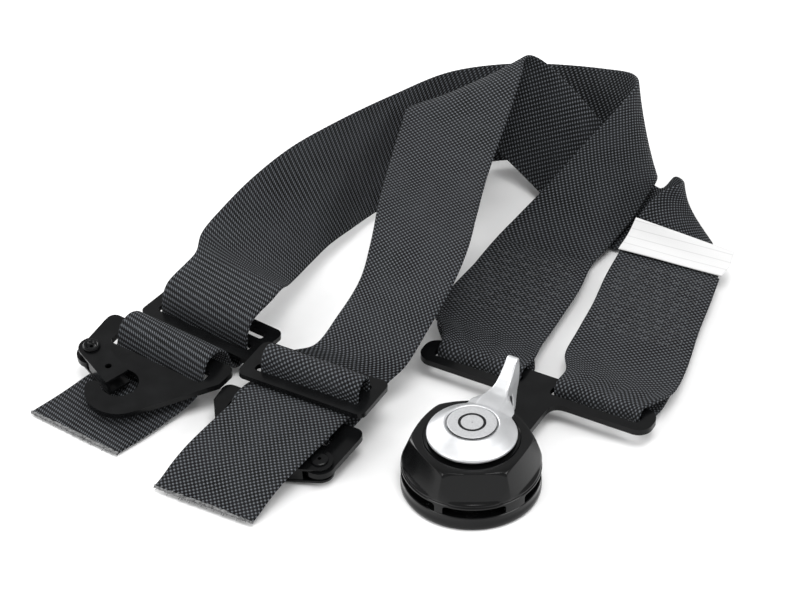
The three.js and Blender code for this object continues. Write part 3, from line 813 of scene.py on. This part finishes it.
def faceted(radius, height, angle):
    """Cuts six leaning flats into the cover's shoulder. Takes and gives metres."""
    r, z = radius / MM, height / MM
    if r < FACET_INNER or z < FACET_FOOT - FACET_FADE:
        return radius, height
    compass = (90 - math.degrees(angle)) % 360
    off = min(abs((compass - a + 180) % 360 - 180) for a in FACET_ANGLES)
    reach = (FACET_REACH + FACET_FLARE * (FACET_TOP - z)) / math.cos(math.radians(off * FACET_BOW))
    foot = min(max((z - FACET_FOOT + FACET_FADE) / FACET_FADE, 0.0), 1.0)
    limit = reach * foot + BUCKLE_RADIUS * (1 - foot)
    nearer = min(max(0.5 + 0.5 * (limit - r) / FACET_EDGE, 0.0), 1.0)
    eased = limit * (1 - nearer) + r * nearer - FACET_EDGE * nearer * (1 - nearer)
    return eased * MM, height


def cover_piece():
    """The buckle's cover: a hollow casting with six flats on its shoulder and five tongue slots."""
    outline = [
        (31.1, COVER_LOW), (31.5, 7.6), (31.5, 12.6), (31.2, 12.9), (31.2, 13.3), (31.5, 13.7),
        (31.5, 17.0), (31.3, 19.2), (30.9, 21.4), (30.2, 23.6), (29.3, 25.2), (28.3, 26.4),
        (27.3, 27.1), (26.2, 27.5), (25.0, 27.6), (21.9, 27.6), (21.5, 27.3), (5.0, 27.3),
        (5.0, 25.2), (23.4, 25.2), (25.0, 22.4), (26.8, 16.0), (27.8, 12.6), (28.0, COVER_LOW),
    ]
    points, faces = turned(outline, step=0.45 * MM, segments=432, shape=faceted)
    cover = outward(new_piece("buckle_dome", points, faces, casting_look))
    for angle in SLOT_ANGLES:
        combine(cover, slot_cutter(angle), "DIFFERENCE")
    shade_smooth(cover, TURNED_SHARP_ANGLE)
    return cover


def slot_cutter(angle):
    """A tongue slot's opening as a block with rounded corners, turned to its place."""
    half = 14.0
    corner = 1.5
    low = COVER_LOW - 1.5
    inner, outer = 24.0, 38.0
    outline = [(-half, low), (half, low)]
    for start, side in ((0, 1), (90, -1)):
        for k in range(5):
            bend = math.radians(start + k * 22.5)
            outline.append((side * (half - corner) + corner * math.cos(bend),
                            SLOT_TOP - corner + corner * math.sin(bend)))
    turn = math.radians(angle)
    points = []
    for y in (inner, outer):
        for x, z in outline:
            points.append(((x * math.cos(turn) + y * math.sin(turn)) * MM,
                           (y * math.cos(turn) - x * math.sin(turn)) * MM, z * MM))
    return outward(new_piece("slot_cutter", points, prism_faces(len(outline)), casting_look))


def base_piece():
    """The buckle's base: a flat disc with a rolled rim and a fine step under the slots."""
    outline = [
        (0.5, 0.0), (30.2, 0.0), (31.1, 0.35), (31.6, 1.2), (31.6, 3.2), (31.3, 3.7), (31.3, 6.6),
        (31.0, 6.9), (9.0, 6.9), (9.0, 12.4), (4.3, 12.4), (4.3, 2.5), (0.5, 2.5),
    ]
    points, faces = turned(outline, step=2.0 * MM, segments=200)
    base = outward(new_piece("buckle_foot", points, faces, casting_look))
    shade_smooth(base, TURNED_SHARP_ANGLE)
    return base


finish_piece(cover_piece(), "harness", "black_casting", "buckle_cover")
finish_piece(base_piece(), "harness", "black_casting", "buckle_base")

# ------------------------------------------------------------------ release lever


# The arm's side outline in (y, z): out over the cover, down the leg, up to the finger tip and back.
ARM_OUTLINE = [
    (12, 30.0), (24, 30.2), (29.5, 30.4), (31.8, 29.6), (33.1, 27.0), (33.6, 23.0), (33.8, 18.8),
    (34.4, 18.3), (36.0, 18.3), (36.6, 18.9), (37.2, 24.0), (38.0, 28.6), (39.6, 33.4), (40.8, 38.4),
    (41.1, 42.0), (40.9, 44.0), (40.0, 45.2), (38.8, 45.3), (37.2, 44.4), (33.6, 40.4), (30.6, 37.6),
    (27.4, 35.8), (23.6, 34.9), (18.0, 34.8), (12, 34.6),
]


def arm_half_width(y, z):
    """Half the arm's thickness: a slim finger blade that flares into the disc."""
    blade = 2.6 + 0.9 * min(max((43.0 - z) / 9.0, 0.0), 1.0)
    flare = 7.5 * math.exp(-max(z - 31.0, 0.0) / 2.9)
    root = min(max((31.0 - y) / 12.0, 0.0), 1.0)
    return blade + flare * root * root * (3 - 2 * root)


def arm_piece():
    """The arm as a wide extrusion of its side outline, made dense, then narrowed by arm_half_width."""
    wide = 12.0
    points = [(side * wide * MM, y * MM, z * MM) for side in (-1, 1) for y, z in ARM_OUTLINE]
    arm = outward(new_piece("lever_arm", points, prism_faces(len(ARM_OUTLINE)), alloy_look))
    remesh = arm.modifiers.new("remesh", "REMESH")
    remesh.mode = "VOXEL"
    remesh.voxel_size = 0.4 * MM
    bake_modifiers(arm)
    for vertex in arm.data.vertices:
        x, y, z = vertex.co
        vertex.co.x = x / (wide * MM) * arm_half_width(y / MM, z / MM) * MM
    return arm


def lever_piece():
    """The lever's disc and arm as one casting, hollowed for the badge, with softened edges."""
    outline = [
        (0.6, 32.6), (4.3, 32.6), (4.3, 28.6), (19.7, 28.6), (20.3, 29.1), (20.3, 30.4),
        (16.4, 33.4), (13.2, 35.5), (12.5, 35.8), (11.8, 35.8), (11.8, 34.8), (0.6, 34.8),
    ]
    points, faces = turned(outline, step=0.9 * MM, segments=180)
    disc = outward(new_piece("lever_casting", points, faces, alloy_look))
    combine(disc, arm_piece(), "UNION")
    combine(disc, rod_cutter(11.8, 34.8, 40.0), "DIFFERENCE")
    remesh = disc.modifiers.new("remesh", "REMESH")
    remesh.mode = "VOXEL"
    remesh.voxel_size = 0.28 * MM
    soften = disc.modifiers.new("soften", "SMOOTH")
    soften.factor = 0.5
    soften.iterations = 18
    bake_modifiers(disc)
    shade_smooth(disc)
    return disc


def rod_cutter(radius, low, high):
    """A round bar about Z, to cut the badge's recess."""
    points, faces = lathe([(0.01 * MM, low * MM), (radius * MM, low * MM),
                           (radius * MM, high * MM), (0.01 * MM, high * MM)], 96)
    return outward(new_piece("rod_cutter", points, faces, alloy_look))


def badge_piece():
    """A plain disc with a raised rim and turned rings, set in the lever's recess."""
    outline = [
        (0.3, 35.0), (11.1, 35.0), (11.2, 35.3), (11.2, 35.7), (11.0, 35.95), (10.6, 36.05), (6.3, 36.05),
        (6.1, 35.8), (5.2, 35.8), (5.0, 36.05), (0.3, 36.05),
    ]
    points, faces = turned(outline, step=1.2 * MM, segments=128)
    badge = outward(new_piece("plain_badge", points, faces, badge_look))
    badge.data.materials.append(ring_look)
    for polygon in badge.data.polygons:
        reach = math.hypot(polygon.center.x, polygon.center.y) / MM
        in_ring = 5.0 < reach < 6.3 or reach > 10.95
        if in_ring and polygon.center.z > 35.5 * MM:
            polygon.material_index = 1
    shade_smooth(badge, TURNED_SHARP_ANGLE)
    return badge


# The rivet's place in its hook's own frame: along the bar, toward the nose, and up.
RIVET_IN_HOOK = (29, 22, 0)


def rivet_piece(side):
    """A hollow rivet: a rolled, dished head on top of the gate and a low head beneath it."""
    outline = [
        (0.9, -4.2), (3.3, -4.2), (3.9, -3.9), (4.0, -3.45), (2.2, -3.45), (2.2, 5.65), (4.0, 5.65),
        (4.15, 6.1), (3.9, 6.6), (3.3, 6.8), (2.7, 6.6), (2.3, 6.0), (1.9, 5.6), (0.9, 5.5),
    ]
    points, faces = turned(outline, step=0.5 * MM, segments=56)
    place, turn, slope, roll = HOOKS[side]
    basis = rotation_z(180 + turn) @ rotation_x(-slope) @ rotation_y(roll)
    middle = (np.array(place) + basis @ np.array(RIVET_IN_HOOK)) * MM
    points = [basis @ np.array(point) + middle for point in points]
    rivet = outward(new_piece(f"{side}_hollow_rivet", points, faces, steel_look))
    shade_smooth(rivet, RIVET_SHARP_ANGLE)
    return rivet


# Rotation matrices about the three axes.
def rotation_x(degrees):
    c, s = math.cos(math.radians(degrees)), math.sin(math.radians(degrees))
    return np.array([[1, 0, 0], [0, c, -s], [0, s, c]])


def rotation_y(degrees):
    c, s = math.cos(math.radians(degrees)), math.sin(math.radians(degrees))
    return np.array([[c, 0, s], [0, 1, 0], [-s, 0, c]])


def rotation_z(degrees):
    c, s = math.cos(math.radians(degrees)), math.sin(math.radians(degrees))
    return np.array([[c, -s, 0], [s, c, 0], [0, 0, 1]])


finish_piece(lever_piece(), "lever", "satin_alloy", "release_lever")
finish_piece(badge_piece(), "lever", "satin_alloy", "lever_badge")

# ------------------------------------------------------------------ plates

for node, name, body, width in (
    ("double_tongue", "tongue_plate", "harness", 0.9 * MM),
    ("left_slide", "left_slide_plate", "harness", 1.0 * MM),
    ("right_slide", "right_slide_plate", "harness", 1.0 * MM),
    ("left_hook_plate", "left_hook_body", "left_hook", 0.9 * MM),
    ("right_hook_plate", "right_hook_body", "right_hook", 0.9 * MM),
    ("left_gate", "left_gate_sheet", "left_gate_body", 0.3 * MM),
    ("right_gate", "right_gate_sheet", "right_gate_body", 0.3 * MM),
):
    finish_piece(bevelled(node, name, steel_look, width), body, "black_steel", node)
for side in ("left", "right"):
    finish_piece(rivet_piece(side), f"{side}_hook", "black_steel", f"{side}_gate_rivet")

# ------------------------------------------------------------------ carried-over inner pieces

BRIGHT_NODES = [
    "spindle", "spindle_clip", "cam_disc", "lever_spring", "left_gate_spring", "right_gate_spring",
    *(f"base_screw_{k}" for k in range(1, 5)),
    *(f"locking_pin_{k}" for k in range(1, 6)),
]

# Each pin's spring is redrawn as a smooth coil over its pin.
SPRING_TURNS = 2
SPRING_LOW = 18.5
SPRING_HIGH = 24.9
SPRING_REACH = 3.4
SPRING_WIRE = 0.4       # half the wire's thickness
STEPS_PER_TURN = 28


def spring_piece(number):
    """The coil above a locking pin, with its middle over the pin's."""
    low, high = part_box(f"locking_pin_{number}")
    middle = (low + high) / 2
    climb = SPRING_HIGH - SPRING_LOW - 2 * SPRING_WIRE
    steps = SPRING_TURNS * STEPS_PER_TURN
    path = []
    for i in range(steps + 1):
        angle = 2 * math.pi * SPRING_TURNS * i / steps
        path.append((middle[0] + SPRING_REACH * MM * math.cos(angle),
                     middle[1] + SPRING_REACH * MM * math.sin(angle),
                     (SPRING_LOW + SPRING_WIRE + climb * i / steps) * MM))
    points, faces = thread_tube(path, SPRING_WIRE * MM, 10)
    return outward(new_piece(f"coil_spring_{number}", points, faces, bright_look))


for number in range(1, 6):
    coil = finish_piece(spring_piece(number), "harness", "bright_steel", f"pin_spring_{number}")
    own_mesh(coil)

for node in BRIGHT_NODES:
    for material_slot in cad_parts[node].material_slots:
        material_slot.material = bright_look

# ------------------------------------------------------------------ floor and lights

FLOOR_HALF = 4.0
FLOOR_DROP = 0.2 * MM
floor = new_piece("floor", [(-FLOOR_HALF, -FLOOR_HALF, 0), (FLOOR_HALF, -FLOOR_HALF, 0),
                            (FLOOR_HALF, FLOOR_HALF, 0), (-FLOOR_HALF, FLOOR_HALF, 0)],
                  [(0, 1, 2, 3)], floor_look, smooth=False)
floor.location.z = -FLOOR_DROP


LIGHT_TARGET = (-0.05, 0.08, 0.02)
WORLD_STRENGTH = 0.6


def area_light(name, place, size, power):
    """A square light that faces LIGHT_TARGET."""
    data = bpy.data.lights.new(name, "AREA")
    data.shape = "SQUARE"
    data.size = size
    data.energy = power
    light = bpy.data.objects.new(name, data)
    bpy.context.scene.collection.objects.link(light)
    light.location = place
    direction = np.array(LIGHT_TARGET) - np.array(place)
    flat = math.hypot(direction[0], direction[1])
    heading = math.atan2(direction[0], -direction[1]) + math.pi
    light.rotation_euler = (math.atan2(flat, -direction[2]), 0, heading)


area_light("left", (-1.8, 0.4, 1.0), 1.0, 26)
area_light("top", (0.3, -0.2, 1.9), 1.0, 22)
area_light("right", (1.5, 0.1, 0.9), 0.8, 12)
area_light("front", (-0.7, -1.5, 0.9), 0.9, 14)

world = bpy.data.worlds.new("studio")
bpy.context.scene.world = world
world.use_nodes = True
world.node_tree.nodes["Background"].inputs["Color"].default_value = (1, 1, 1, 1)
world.node_tree.nodes["Background"].inputs["Strength"].default_value = WORLD_STRENGTH
bpy.context.scene.view_settings.view_transform = "Standard"
